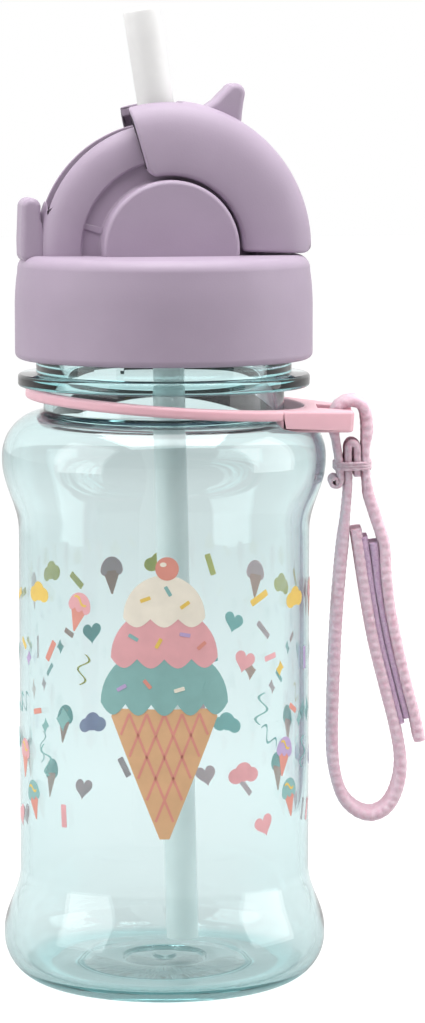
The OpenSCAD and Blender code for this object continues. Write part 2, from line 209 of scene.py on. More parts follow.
def easeBetween(p, q, r, w, t):
    return 0.5 * (2 * q + (r - p) * t + (2 * p - 5 * q + 4 * r - w) * t * t
                  + (3 * q - p - 3 * r + w) * t ** 3)

def through(points, step, parts=16):
    ends = [points[0]] + list(points) + [points[-1]]    # a smooth line through the points, evenly spaced
    dense = []
    for a, b, c, d in zip(ends, ends[1:], ends[2:], ends[3:]):
        for i in range(parts):
            dense.append([easeBetween(p, q, r, w, i / parts) for p, q, r, w in zip(a, b, c, d)])
    dense = thin(dense + [list(points[-1])], 1e-3)
    run = [0]
    for p, q in zip(dense, dense[1:]):
        run.append(run[-1] + math.dist(p, q))
    count = max(2, round(run[-1] / step))
    line, k = [], 0
    for i in range(count + 1):
        goal = run[-1] * i / count
        while k < len(run) - 2 and run[k + 1] < goal:
            k += 1
        t = (goal - run[k]) / (run[k + 1] - run[k])
        line.append(Vector([p + (q - p) * t for p, q in zip(dense[k], dense[k + 1])]))
    return line, run[-1]

def swept(line, length, across, section, around):
    last = len(line) - 1                                # a closed section carried along a line
    bm = bmesh.new()
    uv = bm.loops.layers.uv.new("run")
    bmesh.ops.create_grid(bm, x_segments=last, y_segments=around, size=1)
    seat = {v: (round((v.co.x + 1) / 2 * last), round((v.co.y + 1) / 2 * around)) for v in bm.verts}
    for face in bm.faces:
        for loop in face.loops:
            i, j = seat[loop.vert]
            loop[uv].uv = (length * i / last / 10, j / around)
    for v, (i, j) in seat.items():
        ahead = (line[min(i + 1, last)] - line[max(i - 1, 0)]).normalized()
        up = ahead.cross(across).normalized()
        a, b = section(length * i / last, j % around)
        v.co = line[i] + across * a + up * b
    bmesh.ops.remove_doubles(bm, verts=bm.verts, dist=doubles)
    bmesh.ops.holes_fill(bm, edges=[e for e in bm.edges if e.is_boundary], sides=0)
    bmesh.ops.recalc_face_normals(bm, faces=bm.faces)
    return bm

def made(name, bm):
    mesh = bpy.data.meshes.new(name)
    bm.to_mesh(mesh)
    bm.free()
    piece = bpy.data.objects.new(name, mesh)
    scene.collection.objects.link(piece)
    return piece

def joined(parts):
    bm = bmesh.new()
    for part in parts:
        mesh = bpy.data.meshes.new("part")
        part.to_mesh(mesh)
        part.free()
        bm.from_mesh(mesh)
        bpy.data.meshes.remove(mesh)
    return bm

def applied(piece):
    bpy.context.view_layer.update()
    result = piece.evaluated_get(bpy.context.evaluated_depsgraph_get())
    mesh = bpy.data.meshes.new_from_object(result)
    piece.modifiers.clear()
    piece.data = mesh
    mesh.name = piece.name
    return piece

def carve(piece, bm, how="DIFFERENCE"):
    tool = made("tool", bm)
    step = piece.modifiers.new("carve", "BOOLEAN")
    step.operation = how
    step.solver = "EXACT"
    step.object = tool
    applied(piece)
    bpy.data.objects.remove(tool)
    return piece

def eased(piece, width, angle=38, segments=3):
    bm = bmesh.new()                                    # only outer corners are rounded
    bm.from_mesh(piece.data)
    weight = bm.edges.layers.float.new("bevel_weight_edge")
    for edge in bm.edges:
        if edge.is_contiguous and edge.is_convex and edge.calc_face_angle(0) > rad(angle):
            edge[weight] = 1
    bm.to_mesh(piece.data)
    bm.free()
    step = piece.modifiers.new("ease", "BEVEL")
    step.width = width
    step.segments = segments
    step.limit_method = "WEIGHT"
    step.use_clamp_overlap = False
    step.miter_outer = "MITER_ARC"
    return applied(piece)

def finished(piece, material, body, stands=(), sharp=45, weighted=True):
    piece.data.transform(Matrix.Scale(mm, 4))
    piece.data.shade_smooth()
    piece.data.set_sharp_from_angle(angle=rad(sharp))
    if weighted:
        step = piece.modifiers.new("normals", "WEIGHTED_NORMAL")
        step.keep_sharp = True
    piece.data.materials.clear()
    piece.data.materials.append(material)
    if stands:
        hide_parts(*stands)
    if body:
        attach(piece, body)
    print("made", piece.name)

# materials

def newMaterial(name):
    material = bpy.data.materials.new(name)
    material.use_nodes = True
    tree = material.node_tree
    return material, tree, tree.nodes["Principled BSDF"]

def objectPlace(tree, stretch=(1, 1, 1)):
    coords = tree.nodes.new("ShaderNodeTexCoord")
    mapping = tree.nodes.new("ShaderNodeMapping")
    mapping.inputs["Scale"].default_value = stretch
    tree.links.new(coords.outputs["Object"], mapping.inputs["Vector"])
    return mapping.outputs["Vector"]

def noise(tree, vector, scale, detail=2, rough=0.5):
    node = tree.nodes.new("ShaderNodeTexNoise")
    node.inputs["Scale"].default_value = scale
    node.inputs["Detail"].default_value = detail
    node.inputs["Roughness"].default_value = rough
    tree.links.new(vector, node.inputs["Vector"])
    return node.outputs["Fac"]

def ramp(tree, factor, stops):
    node = tree.nodes.new("ShaderNodeValToRGB")
    for element, (place, colour) in zip(node.color_ramp.elements, stops):
        element.position = place
        element.color = (*colour, 1)
    tree.links.new(factor, node.inputs["Fac"])
    return node.outputs["Color"]

def spread(tree, factor, low, high):
    node = tree.nodes.new("ShaderNodeMapRange")
    node.inputs["To Min"].default_value = low
    node.inputs["To Max"].default_value = high
    tree.links.new(factor, node.inputs["Value"])
    return node.outputs["Result"]

def bump(tree, shader, height, depth):
    node = tree.nodes.new("ShaderNodeBump")
    node.inputs["Distance"].default_value = depth
    tree.links.new(height, node.inputs["Height"])
    tree.links.new(node.outputs["Normal"], shader.inputs["Normal"])

def clouded(tree, shader, factor, colour, dip, rise):
    low = tuple(min(1, c * (1 - dip)) for c in colour)  # the colour drifts a little over the piece
    high = tuple(min(1, c * (1 + rise)) for c in colour)
    tree.links.new(ramp(tree, factor, [(0.3, low), (0.7, high)]), shader.inputs["Base Color"])

def mouldedPlastic(name, colour, s):
    material, tree, shader = newMaterial(name)
    place = objectPlace(tree)
    grain = noise(tree, place, s["grain"], 2, 0.6)
    clouded(tree, shader, noise(tree, place, s["cloud"], 3), colour, 0.03, 0.03)
    tree.links.new(spread(tree, grain, s["rough"] - 0.05, s["rough"] + 0.06), shader.inputs["Roughness"])
    shader.inputs["Subsurface Weight"].default_value = s["soft"]
    shader.inputs["Subsurface Radius"].default_value = (1.0, 0.8, 1.0)
    shader.inputs["Subsurface Scale"].default_value = s["reach"]
    shader.inputs["Specular IOR Level"].default_value = s["gloss"]
    bump(tree, shader, grain, s["depth"])
    return material

plasticSet = {"cloud": 90, "grain": 2600, "rough": 0.5, "depth": 0.00002, "soft": 0.12, "reach": 0.0012,
              "gloss": 0.45}
lidPlastic = mouldedPlastic("lidPlastic", (0.385, 0.310, 0.400), plasticSet)
coverPlastic = mouldedPlastic("coverPlastic", (0.395, 0.319, 0.410), plasticSet)

def clearPlastic(name, s):
    material, tree, shader = newMaterial(name)
    shader.inputs["Base Color"].default_value = (1, 1, 1, 1)
    shader.inputs["Transmission Weight"].default_value = 1
    shader.inputs["IOR"].default_value = s["index"]
    place = objectPlace(tree, s["stretch"])
    scuffs = spread(tree, noise(tree, place, s["scuff"], 2), 0.0, s["rough"])
    tree.links.new(scuffs, shader.inputs["Roughness"])
    bump(tree, shader, noise(tree, place, s["ripple"], 1), s["depth"])
    passing = tree.nodes.new("ShaderNodeBsdfTransparent")   # lamps and soft light reach what is inside
    path = tree.nodes.new("ShaderNodeLightPath")
    pick = tree.nodes.new("ShaderNodeMixShader")
    tree.links.new(path.outputs["Is Shadow Ray"], pick.inputs["Fac"])
    tree.links.new(shader.outputs["BSDF"], pick.inputs[1])
    tree.links.new(passing.outputs["BSDF"], pick.inputs[2])
    tree.links.new(pick.outputs["Shader"], tree.nodes["Material Output"].inputs["Surface"])
    tint = tree.nodes.new("ShaderNodeVolumeAbsorption")
    tint.inputs["Color"].default_value = (*s["tint"], 1)
    tint.inputs["Density"].default_value = s["density"]
    tree.links.new(tint.outputs["Volume"], tree.nodes["Material Output"].inputs["Volume"])
    return material

clearSet = {"density": 62, "tint": (0.04, 0.74, 0.76), "index": 1.52, "stretch": (1, 1, 0.35), "ripple": 22,
            "depth": 0.00008, "scuff": 400, "rough": 0.035}
bottlePlastic = clearPlastic("bottlePlastic", clearSet)

def softSilicone(name, colour, s):
    material, tree, shader = newMaterial(name)
    place = objectPlace(tree)
    cloud = noise(tree, place, 120, 3)
    clouded(tree, shader, cloud, colour, 0.04, 0.04)
    tree.links.new(spread(tree, cloud, s["rough"] - 0.06, s["rough"] + 0.06), shader.inputs["Roughness"])
    shader.inputs["Subsurface Weight"].default_value = s["soft"]
    shader.inputs["Subsurface Radius"].default_value = (1, 1, 1)
    shader.inputs["Subsurface Scale"].default_value = s["reach"]
    shader.inputs["Transmission Weight"].default_value = s["clear"]
    shader.inputs["IOR"].default_value = 1.41
    bump(tree, shader, noise(tree, place, 300, 2), 0.00002)
    return material

strawSilicone = softSilicone("strawSilicone", (0.91, 0.905, 0.895),
                             {"rough": 0.4, "soft": 0.3, "reach": 0.002, "clear": 0.2})
strawTube = softSilicone("strawTube", (0.87, 0.89, 0.88),
                         {"rough": 0.35, "soft": 0.3, "reach": 0.002, "clear": 0.15})
sealSilicone = softSilicone("sealSilicone", (0.80, 0.80, 0.78),
                            {"rough": 0.4, "soft": 0.4, "reach": 0.003, "clear": 0.0})
ringSilicone = softSilicone("ringSilicone", (0.77, 0.455, 0.515),
                            {"rough": 0.45, "soft": 0.35, "reach": 0.0025, "clear": 0.0})

def knitted(name, light, dark, s):
    material, tree, shader = newMaterial(name)
    place = objectPlace(tree)
    fuzz = noise(tree, place, s["fuzz"], 3, 0.7)
    patches = ramp(tree, noise(tree, place, s["patch"], 4, 0.65), [(0.35, dark), (0.62, light)])
    tree.links.new(patches, shader.inputs["Base Color"])
    tree.links.new(spread(tree, fuzz, 0.78, 0.95), shader.inputs["Roughness"])
    shader.inputs["Sheen Weight"].default_value = s["sheen"]
    shader.inputs["Sheen Roughness"].default_value = 0.4
    shader.inputs["Subsurface Weight"].default_value = 0.25
    shader.inputs["Subsurface Scale"].default_value = 0.0015
    shader.inputs["Subsurface Radius"].default_value = (1, 0.7, 0.8)
    bump(tree, shader, fuzz, s["depth"])
    return material

tapeKnit = knitted("tapeKnit", (0.88, 0.67, 0.75), (0.80, 0.51, 0.61),
                   {"fuzz": 3200, "patch": 900, "sheen": 0.35, "depth": 0.00022})
tieThread = knitted("tieThread", (0.86, 0.64, 0.72), (0.78, 0.48, 0.58),
                    {"fuzz": 3600, "patch": 1100, "sheen": 0.3, "depth": 0.0002})
hookFuzz = knitted("hookFuzz", (0.84, 0.60, 0.80), (0.70, 0.44, 0.68),
                   {"fuzz": 4200, "patch": 1500, "sheen": 0.5, "depth": 0.0004})

def ink(name, colour):
    material, tree, shader = newMaterial(name)
    place = objectPlace(tree)
    clouded(tree, shader, noise(tree, place, 260, 3), colour, 0.05, 0.04)
    tree.links.new(spread(tree, noise(tree, place, 1500, 2), 0.36, 0.5), shader.inputs["Roughness"])
    bump(tree, shader, noise(tree, place, 2200, 2), 0.00001)
    return material

print("materials ready")

# screw thread, three starts; the neck's ridges stand out and the lid's stand in

threadSet = {"starts": 3, "lead": 15, "span": 110, "high": 1.35, "sink": 0.35, "foot": 1.1, "crest": 0.6,
             "neckZ": 142.2, "lidZ": 140.3, "runOut": 3, "steps": 44}

def ridges(radius, z, outward, s):
    foot, crest, high = s["foot"], s["crest"], s["high"]
    shape = [(-foot, -s["sink"]), (-crest - 0.07, high - 0.18), (-crest + 0.13, high), (crest - 0.13, high),
             (crest + 0.07, high - 0.18), (foot, -s["sink"])]
    parts = []
    for start in range(s["starts"]):
        angles = [rad(s["span"] * i / s["steps"]) for i in range(s["steps"] + 1)]
        turn = 2 * math.pi * start / s["starts"]
        line = [Vector((radius * math.cos(a + turn), radius * math.sin(a + turn),
                        z + s["lead"] * a / (2 * math.pi))) for a in angles]
        length = angles[-1] * radius
        def section(run, j):
            rise = max(0.04, min(1, run / s["runOut"], (length - run) / s["runOut"]))
            a, b = shape[j]
            return a, outward * (-s["sink"] + (b + s["sink"]) * rise)
        parts.append(swept(line, length, Vector((0, 0, 1)), section, len(shape)))
    return joined(parts)

# bottle: a clear body with real walls, spun once round

bottleSet = {"bulge": 35.6, "waist": 32, "wall": 2, "floor": 3.4, "edge": 10, "lowTop": 25, "highLow": 100,
             "shoulder": 116.5, "throat": 26.4, "flange": 32, "flangeZ": 131.8, "flangeT": 2.8, "neck": 28,
             "rim": 152.3, "grooveR": 18.5, "steps": 192,
             "rings": [(2.2, 1.0), (2.7, 0.5), (7.6, 0.5), (8.2, 0.1), (9.0, 0.1), (9.5, 0.6), (15.6, 0.6)]}

def bottleSide(s, skin):
    edge = s["bulge"] - s["edge"]
    return (arc(edge, s["edge"], s["edge"] - skin, -90, 0, 20)
            + swing(s["bulge"] - skin, s["edge"] + 1, s["waist"] - skin, s["lowTop"], 22)
            + swing(s["waist"] - skin, s["highLow"], s["bulge"] - skin, s["shoulder"] - 1, 22)
            + arc(edge, s["shoulder"], s["edge"] - skin, 0, 84, 20))

def makeBottle(s):
    g, f, top = s["grooveR"], s["flange"], s["flangeZ"] + s["flangeT"]
    outside = ([(0, 0), (g - 1.1, 0)] + arc(g, 0.05, 0.6, 180, 0, 8) + [(g + 1.1, 0)] + bottleSide(s, 0)
               + [(s["throat"] + 0.1, 126.55), (s["throat"], 127.2), (s["throat"], s["flangeZ"] - 0.4),
                  (s["throat"] + 0.4, s["flangeZ"])]
               + arc(f - 0.7, s["flangeZ"] + 0.7, 0.7, -90, 0, 6) + arc(f - 0.7, top - 0.7, 0.7, 0, 90, 6)
               + [(s["neck"] + 0.5, top), (s["neck"] + 0.1, top + 0.15), (s["neck"], top + 0.6)]
               + arc(s["neck"] - 0.7, s["rim"] - 0.7, 0.7, 0, 90, 6))
    throat, neck, low = s["throat"] - s["wall"], s["neck"] - 2.5, s["floor"]
    walls = [p for p in bottleSide(s, s["wall"]) if p[1] > low + 0.3]
    inside = ([(0, low + 1.0)] + [(r, low + z) for r, z in s["rings"]]
              + [(16.6, low), (s["bulge"] - s["edge"], low)] + walls
              + [(throat + 0.3, 124.4), (throat, 125.4), (throat, top), (neck, top + 2)]
              + [(neck, s["rim"] - 0.6), (neck + 0.6, s["rim"])])
    bottle = made("bottle", spun(outside + inside[::-1], steps=s["steps"]))
    return carve(bottle, ridges(s["neck"], threadSet["neckZ"], 1, threadSet), "UNION")

bottle = makeBottle(bottleSet)
finished(bottle, bottlePlastic, "bottle", ["bottle_body"], sharp=40, weighted=False)

def rod(r, segments, place=(0, 0, 0)):
    bm = bmesh.new()
    bmesh.ops.create_cone(bm, cap_ends=True, segments=segments, radius1=r, radius2=r, depth=20,
                          matrix=Matrix.Translation(place))
    return bm

# lid: collar, arch, hub and catch tab as one moulding

lidSet = {"collar": 32.6, "low": 137.8, "deck": 160.5, "seat": 154.8, "roof": 158.3, "skirt": 29.7,
          "archZ": 162, "hub": 14.9, "hubHalf": 12.2, "webHalf": 6, "archIn": 19, "slotLeft": -26,
          "slotRight": 5.6, "slotHalf": 4.6, "tabHalf": 5, "tabEase": 1.3, "strawX": 1, "strawR": 4.1,
          "valveY": 17.6, "valveR": 3.1, "ribAt": 165, "ribHalf": 0.7,
          "crest": [(21, 7.5), (22.6, 7.45), (24.2, 7.2), (25.6, 6.7), (26.7, 5.8), (27.45, 4.5),
                    (27.85, 2.9), (28, 1.2)]}

def collarOutline(s):
    c = s["collar"]
    return ([(s["skirt"] + 0.4, s["low"])] + arc(c - 1.5, s["low"] + 1.5, 1.5, -90, 0, 8)
            + [(c, 146), (c, 150), (c - 0.1, 152.6), (c - 0.3, 155), (c - 0.55, 156.8)]
            + arc(c - 3.6, s["deck"] - 3, 3, 8, 90, 12)
            + [(24, s["deck"] + 0.02), (0, s["deck"]), (0, s["roof"]), (23.5, s["roof"]), (23.5, s["seat"]),
               (s["skirt"], s["seat"]), (s["skirt"], s["low"] + 0.4), (s["skirt"] + 0.4, s["low"])])

def archOutline(s):
    h, w, a = s["hub"], s["webHalf"], s["archIn"]
    side = ([(0, s["hubHalf"])] + arc(h - 1, s["hubHalf"] - 1, 1, 90, 0, 6) + [(h, w + 0.5)]
            + arc(h + 0.5, w + 0.5, 0.5, 180, 270, 4) + arc(a - 0.3, w + 0.3, 0.3, -90, 0, 3)
            + arc(a + 0.6, w + 0.75, 0.6, 180, 100, 4) + s["crest"])
    return side + [(r, -y) for r, y in side[::-1]]

def tabOutline():
    return ([(-26.4, -2.8), (-26.3, 0), (-26.5, 2.2), (-27.0, 4.6), (-27.6, 6.6)]
            + arc(-29.6, 8.9, 2.1, 10, 170, 10) + [(-31.8, 5.5), (-31.95, 2), (-31.9, -1.2), (-31.6, -2.8)])

def makeLid(s):
    lid = made("lid", spun(collarOutline(s)[:-1], closed=True))
    block = spun(archOutline(s), "Y", s["archZ"])
    cut = bmesh.ops.bisect_plane(block, geom=whole(block), plane_co=(0, 0, s["roof"] + 1.1),
                                 plane_no=(0, 0, -1), clear_outer=True)
    bmesh.ops.contextual_create(block, geom=[e for e in cut["geom_cut"] if isinstance(e, bmesh.types.BMEdge)])
    bmesh.ops.recalc_face_normals(block, faces=block.faces)
    carve(lid, block, "UNION")
    foot, end, half = s["hub"] - 0.4, s["archIn"], s["ribHalf"]     # the small rib that the cover clicks past
    rib = [turned(p, s["ribAt"]) for p in ((foot, -half), (end, -half), (end, half), (foot, half))]
    carve(lid, slab(rib, s["webHalf"] + 0.3, s["archZ"]), "UNION")
    carve(lid, ridges(s["skirt"], threadSet["lidZ"], -1, threadSet), "UNION")
    tab = slab(tabOutline(), s["tabHalf"], s["archZ"])
    softened(tab, s["tabEase"], 4, clamp=False)
    carve(lid, tab, "UNION")
    left, right = s["slotLeft"], s["slotRight"]
    low, high = s["deck"] + 0.01, 200
    carve(lid, slab([(left, low), (right, low), (right, high), (left, high)], s["slotHalf"]))
    for x, y, r, low in ((s["strawX"], 0, s["strawR"], 150), (0, s["valveY"], s["valveR"], s["deck"] - 1)):
        carve(lid, rod(r, 48, (x, y, low + 10)))
    return lid

lid = makeLid(lidSet)
eased(lid, 0.45)
finished(lid, lidPlastic, "lid", ["lid_shell"])

# cover: a crowned shell that slides round the arch

coverSet = {"outer": 32, "inner": 29.4, "half": 10.3, "cheek": 8, "lip": 6.4, "cheekIn": 15.8, "lipOut": 18.5,
            "low": -2.2, "span": 106, "notch": 5.3, "notchRoot": 84, "hornHalf": 4.3, "bottom": 160.8,
            "corners": (1.2, 3, 1.2, 3), "edgeEase": 1.3}

def coverOutline(s):
    o, h, c, lip = s["outer"], s["half"], s["cheekIn"], s["lip"]
    side = [(o, 3.4), (o - 0.12, 4.8), (o - 0.5, 6.1), (o - 1.15, 7.25), (o - 2.1, 8.2), (o - 3.4, 9.0),
            (o - 5.0, 9.6), (o - 6.9, h - 0.3), (o - 9, h - 0.08), (o - 11.2, h), (o - 13.4, h - 0.05),
            (c + 1, h - 0.3), (c + 0.35, h - 0.6), (c, h - 1.2), (c, lip + 0.3), (c + 0.3, lip),
            (s["lipOut"] - 0.3, lip), (s["lipOut"], lip + 0.3), (s["lipOut"], s["cheek"]),
            (s["inner"] - 2, s["cheek"])]
    side += arc(s["inner"] - 2, s["cheek"] - 2, 2, 80, 0, 5)
    return side + [(r, -y) for r, y in side[::-1]]

def corner(radius, ease, side, inner):
    span = radius + ease if inner else radius - ease
    return math.sqrt(span * span - ease * ease), side * ease

def sector(r0, r1, a0, a1, corners):
    inStart, outStart, outEnd, inEnd = corners          # a slice of a ring with its four corners rounded
    outlines = []
    for radius, ease, side, inner, swingTo in ((r1, outStart, 1, False, a0), (r1, outEnd, -1, False, a1),
                                               (r0, inEnd, -1, True, a1), (r0, inStart, 1, True, a0)):
        x, y = corner(radius, ease, side, inner)
        touch = math.degrees(math.atan2(y, x))
        first, last = {(1, False): (-90, touch), (-1, False): (touch, 90),
                       (-1, True): (90, 180 + touch), (1, True): (180 + touch, 270)}[(side, inner)]
        outlines.append(([turned(p, swingTo) for p in arc(x, y, ease, first, last, 6)], touch))
    (a, aTouch), (b, bTouch), (c, cTouch), (d, dTouch) = outlines
    return (a + arc(0, 0, r1, a0 + aTouch + 2, a1 + bTouch - 2, 48) + b + c
            + arc(0, 0, r0, a1 + cTouch - 2, a0 + dTouch + 2, 36) + d)

def hornOutline():
    return ([(7.4, 29.4), (9.4, 31.0), (10.9, 32.0), (12.2, 33.4)] + arc(15.3, 33.5, 2.15, 152, -8, 8)
            + [(17.1, 31.4), (16.8, 29.2), (16.6, 26.4), (12, 27.4)])

def makeCover(s):
    archZ = lidSet["archZ"]
    cover = made("cover", spun(coverOutline(s), "Y", archZ, closed=True))
    side = sector(s["cheekIn"] - 0.2, s["outer"] + 0.4, s["low"], s["span"], s["corners"])
    carve(cover, slab(side, s["half"] + 2, archZ), "INTERSECT")
    carve(cover, slab([(-40, 100), (40, 100), (40, s["bottom"]), (-40, s["bottom"])], 30))
    horn = slab(hornOutline(), s["hornHalf"], archZ)
    softened(horn, s["edgeEase"], 5)
    bmesh.ops.remove_doubles(horn, verts=horn.verts, dist=doubles)
    carve(cover, horn, "UNION")
    notch = [(0, 0), turned((45, 0), s["notchRoot"]), turned((60, 0), 100), turned((45, 0), s["span"] + 8)]
    carve(cover, slab(notch, s["notch"], archZ))
    return cover

cover = makeCover(coverSet)
eased(cover, 0.5)
finished(cover, coverPlastic, "cover", ["slide_cover"])

# straw: two soft lengths, shaped with a fixed lean at the lower of the CAD's two pivots

strawSet = {"outer": 4, "bore": 2.7, "socket": 5.2, "flange": 7.6, "flangeLow": 156.6, "flangeHigh": 158.2,
            "x": 1, "pivot": 176, "lean": 9, "mid": 15.6, "tip": 22.8, "split": 184, "ease": 4.5, "step": 0.8,
            "low": 146, "seat": 154.2, "seatR": 3.6, "lip": 0.7, "rootBend": (-4.2, 5), "tipBend": 5.5}

def leaned(bm, s):
    for v in bm.verts:
        up = v.co.z - s["pivot"]
        if v.co.z < s["flangeLow"] + 0.1:
            v.co.x -= 0.4 + 0.0244 * (v.co.z - 150)     # the socket follows the lower straw's lean
        t = min(1, max(0, (up + s["ease"]) / (2 * s["ease"])))
        a = rad(s["lean"]) * t * t * (3 - 2 * t)
        side = v.co.x
        v.co.x = s["x"] + side * math.cos(a) - up * math.sin(a)
        v.co.z = s["pivot"] + side * math.sin(a) + up * math.cos(a)
    return bm

def rungs(r, low, high, step):
    count = max(1, round(abs(high - low) / step))
    return [(r, low + (high - low) * i / count) for i in range(count + 1)]

def makeStraw(s):
    o, b, cut, top = s["outer"], s["bore"], s["split"], s["pivot"] + s["mid"] + s["tip"]
    under, over, lip, step = s["flangeLow"], s["flangeHigh"], s["lip"], s["step"]
    root = ([(s["seatR"], s["low"]), (s["socket"], s["low"]), (s["socket"], under), (s["flange"], under),
             (s["flange"], over), (o, over)] + rungs(o, 159, cut, step) + rungs(b, cut, s["seat"], step)
            + [(s["seatR"], s["seat"])])
    mouth = (rungs(o, cut, top - lip, step) + arc(o - lip, top - lip, lip, 15, 90, 6)
             + arc(b + 0.45, top - 0.45, 0.45, 90, 180, 5) + rungs(b, top - 1, cut, step))
    return [made(name, leaned(spun(outline, steps=72, closed=True), s))
            for name, outline in (("strawRoot", root), ("strawMouth", mouth))]

strawRoot, strawMouth = makeStraw(strawSet)
for length, nodes in ((strawRoot, ["mouthpiece_root", "mouthpiece_mid"]), (strawMouth, ["mouthpiece_tip"])):
    finished(length, strawSilicone, None, nodes, sharp=50, weighted=False)

def onStraw(up):
    a = rad(strawSet["lean"]) if up > 0 else 0
    return ((strawSet["x"] - up * math.sin(a)) * mm, 0, (strawSet["pivot"] + up * math.cos(a)) * mm)

bendLow, bendHigh = strawSet["rootBend"]
tipAt, tipBend = strawSet["mid"], strawSet["tipBend"]
onStraw(bendLow)
onStraw(bendHigh)
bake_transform(strawRoot)
onStraw(tipAt - tipBend)
onStraw(tipAt + tipBend)
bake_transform(strawMouth)

# carry ring: a thin band with a flat lug, a slot and a lowered bar for the strap

ringSet = {"radius": 29.15, "thick": 2.7, "high": 2.3, "round": 0.7, "shift": 1.45, "z": 128.4, "tilt": 3.9,
           "turn": -9, "end": 41.5, "drop": 3.5, "root": 24.2, "rootHalf": 20.9, "corner": 3, "cornerY": 7.8,
           "slotIn": 33.6, "slotOut": 39.7, "slotHalf": 5.6, "barTop": 0.35, "room": 10.3, "edgeEase": 0.6}

def lugOutline(s):
    reach, c, y = s["end"] - s["shift"] - s["corner"], s["corner"], s["cornerY"]
    root, half = s["root"], s["rootHalf"]
    side = math.degrees(math.atan2(half - y, reach - root)) - 90
    return ([(root - 3, 2 - half), (root, -half)] + arc(reach, -y, c, side, 0, 8)
            + arc(reach, y, c, 0, -side, 8) + [(root, half), (root - 3, half - 2)])

def makeRing(s):
    r, e, h, o = s["radius"], s["round"], s["high"] / 2, s["radius"] + s["thick"]
    band = ([(r, -h + 0.3), (r + 0.3, -h)] + arc(o - e, e - h, e, -90, 0, 6) + arc(o - e, h - e, e, 0, 90, 6)
            + [(r + 0.3, h), (r, h - 0.3)])
    ring = made("carryRing", spun(band, steps=144, closed=True))
    lug = plate(lugOutline(s), -s["drop"], h)
    softened(lug, s["edgeEase"], 4)
    lug = carve(made("lug", lug), rod(r + 0.9, 144))
    body = bmesh.new()
    body.from_mesh(lug.data)
    bpy.data.objects.remove(lug)
    carve(ring, body, "UNION")
    near, far, half = s["slotIn"] - s["shift"], s["slotOut"] - s["shift"], s["slotHalf"]
    for x0, x1, low, high in ((near, far, -10, 10), (near + 0.1, near + 20, s["barTop"], 6)):
        carve(ring, plate([(x0, -half), (x1, -half), (x1, half), (x0, half)], low, high))
    ring.data.transform(Matrix.Rotation(rad(s["turn"]), 4, "Z") @ Matrix.Translation((0, 0, s["z"]))
                        @ Matrix.Rotation(rad(s["tilt"]), 4, "Y") @ Matrix.Translation((s["shift"], 0, 0)))
    bulge, shoulder = bottleSet["bulge"], bottleSet["shoulder"]     # the shoulder cuts the lug's underside
    clear = [(0, 105), (bulge + 0.3, 105)] + arc(bulge - bottleSet["edge"], shoulder, s["room"], 0, 88, 16)
    carve(ring, spun(clear + [(0, shoulder + s["room"])], steps=144))
    return ring

ring = makeRing(ringSet)
eased(ring, 0.3, angle=50, segments=2)
finished(ring, ringSilicone, "ring", ["carry_ring"])

# strap: two knitted tapes, fuzzy pads and the thread that ties them

strapSet = {"width": 10, "step": 0.38, "wale": 1.2, "stitch": 1.5, "relief": 0.15, "edgeLoop": 1.9,
            "edgeRelief": 0.22, "wander": 0.9, "wanderRun": 0.37, "thick": 1.62, "around": 52,
            "curlAt": (37.5, 110.9)}
bound, soft = 1.72, 2.45                                # the tape's thickness under the thread, and free
outerThick = [(0, 0.8), (5, 0.95), (9, bound), (15, bound), (20, soft), (33, soft), (38, bound), (42, bound),
              (50, soft)]
loopThick = [(0, 1.5), (2, bound), (22, bound), (32, soft)]
eyeRoute = [(38.75, 112.6), (38.5, 115.4), (37.9, 119), (37.45, 123), (38.4, 126.6), (41.1, 128.1),
            (43.4, 126.8), (44.1, 123), (44.1, 118), (44.2, 113.4), (44.5, 109)]
tailRoute = [(44.8, 106.9), (46.2, 102.5), (47.9, 97), (48.3, 91), (49.2, 83), (50.9, 74.5), (52.9, 66),
             (54.9, 58.5), (56, 53.2)]
foldRoute = [(42.35, 112), (42.35, 117.4), (42.15, 118.75), (41.35, 119.3), (40.55, 118.75), (40.35, 117.4)]
loopRoute = [(40.35, 110), (39.8, 102.5), (38.7, 91), (37.9, 80), (37.4, 68), (37.1, 56), (37.5, 47.5),
             (39.3, 41), (42.4, 37.6), (46, 36.6), (49.4, 38.4), (51.6, 42.8), (52.3, 48.5), (51.2, 55.5),
             (48.9, 64.5), (46.3, 75), (44.3, 86), (42.9, 95), (42.1, 100.4)]
hookRoute = [(43.6, 98.6), (44.25, 95.2), (45.75, 86.1), (47.8, 75.2), (50.3, 65.1), (52.3, 57.2)]
padRoute = [(46.0, 97.4), (46.45, 94), (47.2, 86.6), (49.28, 75.2), (51.6, 65.9), (53.5, 58.4)]
strapTurn = rad(ringSet["turn"])
strapAcross = Vector((-math.sin(strapTurn), math.cos(strapTurn), 0))

def inStrap(u, z, across=0):
    return (u * math.cos(strapTurn) + strapAcross.x * across,
            u * math.sin(strapTurn) + strapAcross.y * across, z)

def curled(centre):
    turns = [(rad(-430 + 43 * k), 0.42 + 0.092 * k) for k in range(11)]
    return [(centre[0] + r * math.cos(a), centre[1] + r * math.sin(a)) for a, r in turns]

def tapeSide(j, around, width, half):
    flat = width - 2 * half                             # round-edged tape: where point j of the section lies
    way = j / around * (2 * flat + 2 * math.pi * half)
    if way < flat:
        return way - flat / 2, half, 0, 1
    way -= flat
    if way < math.pi * half:
        a = way / half
        return flat / 2 + half * math.sin(a), half * math.cos(a), math.sin(a), math.cos(a)
    way -= math.pi * half
    if way < flat:
        return flat / 2 - way, -half, 0, -1
    a = (way - flat) / half
    return -flat / 2 - half * math.sin(a), -half * math.cos(a), -math.sin(a), -math.cos(a)

def level(stops, run):
    for (a, low), (b, high) in zip(stops, stops[1:]):
        if run < b:
            t = max(0, (run - a) / (b - a))
            return low + (high - low) * t * t * (3 - 2 * t)
    return stops[-1][1]

def wave(a):
    return 0.5 + 0.5 * math.cos(a)

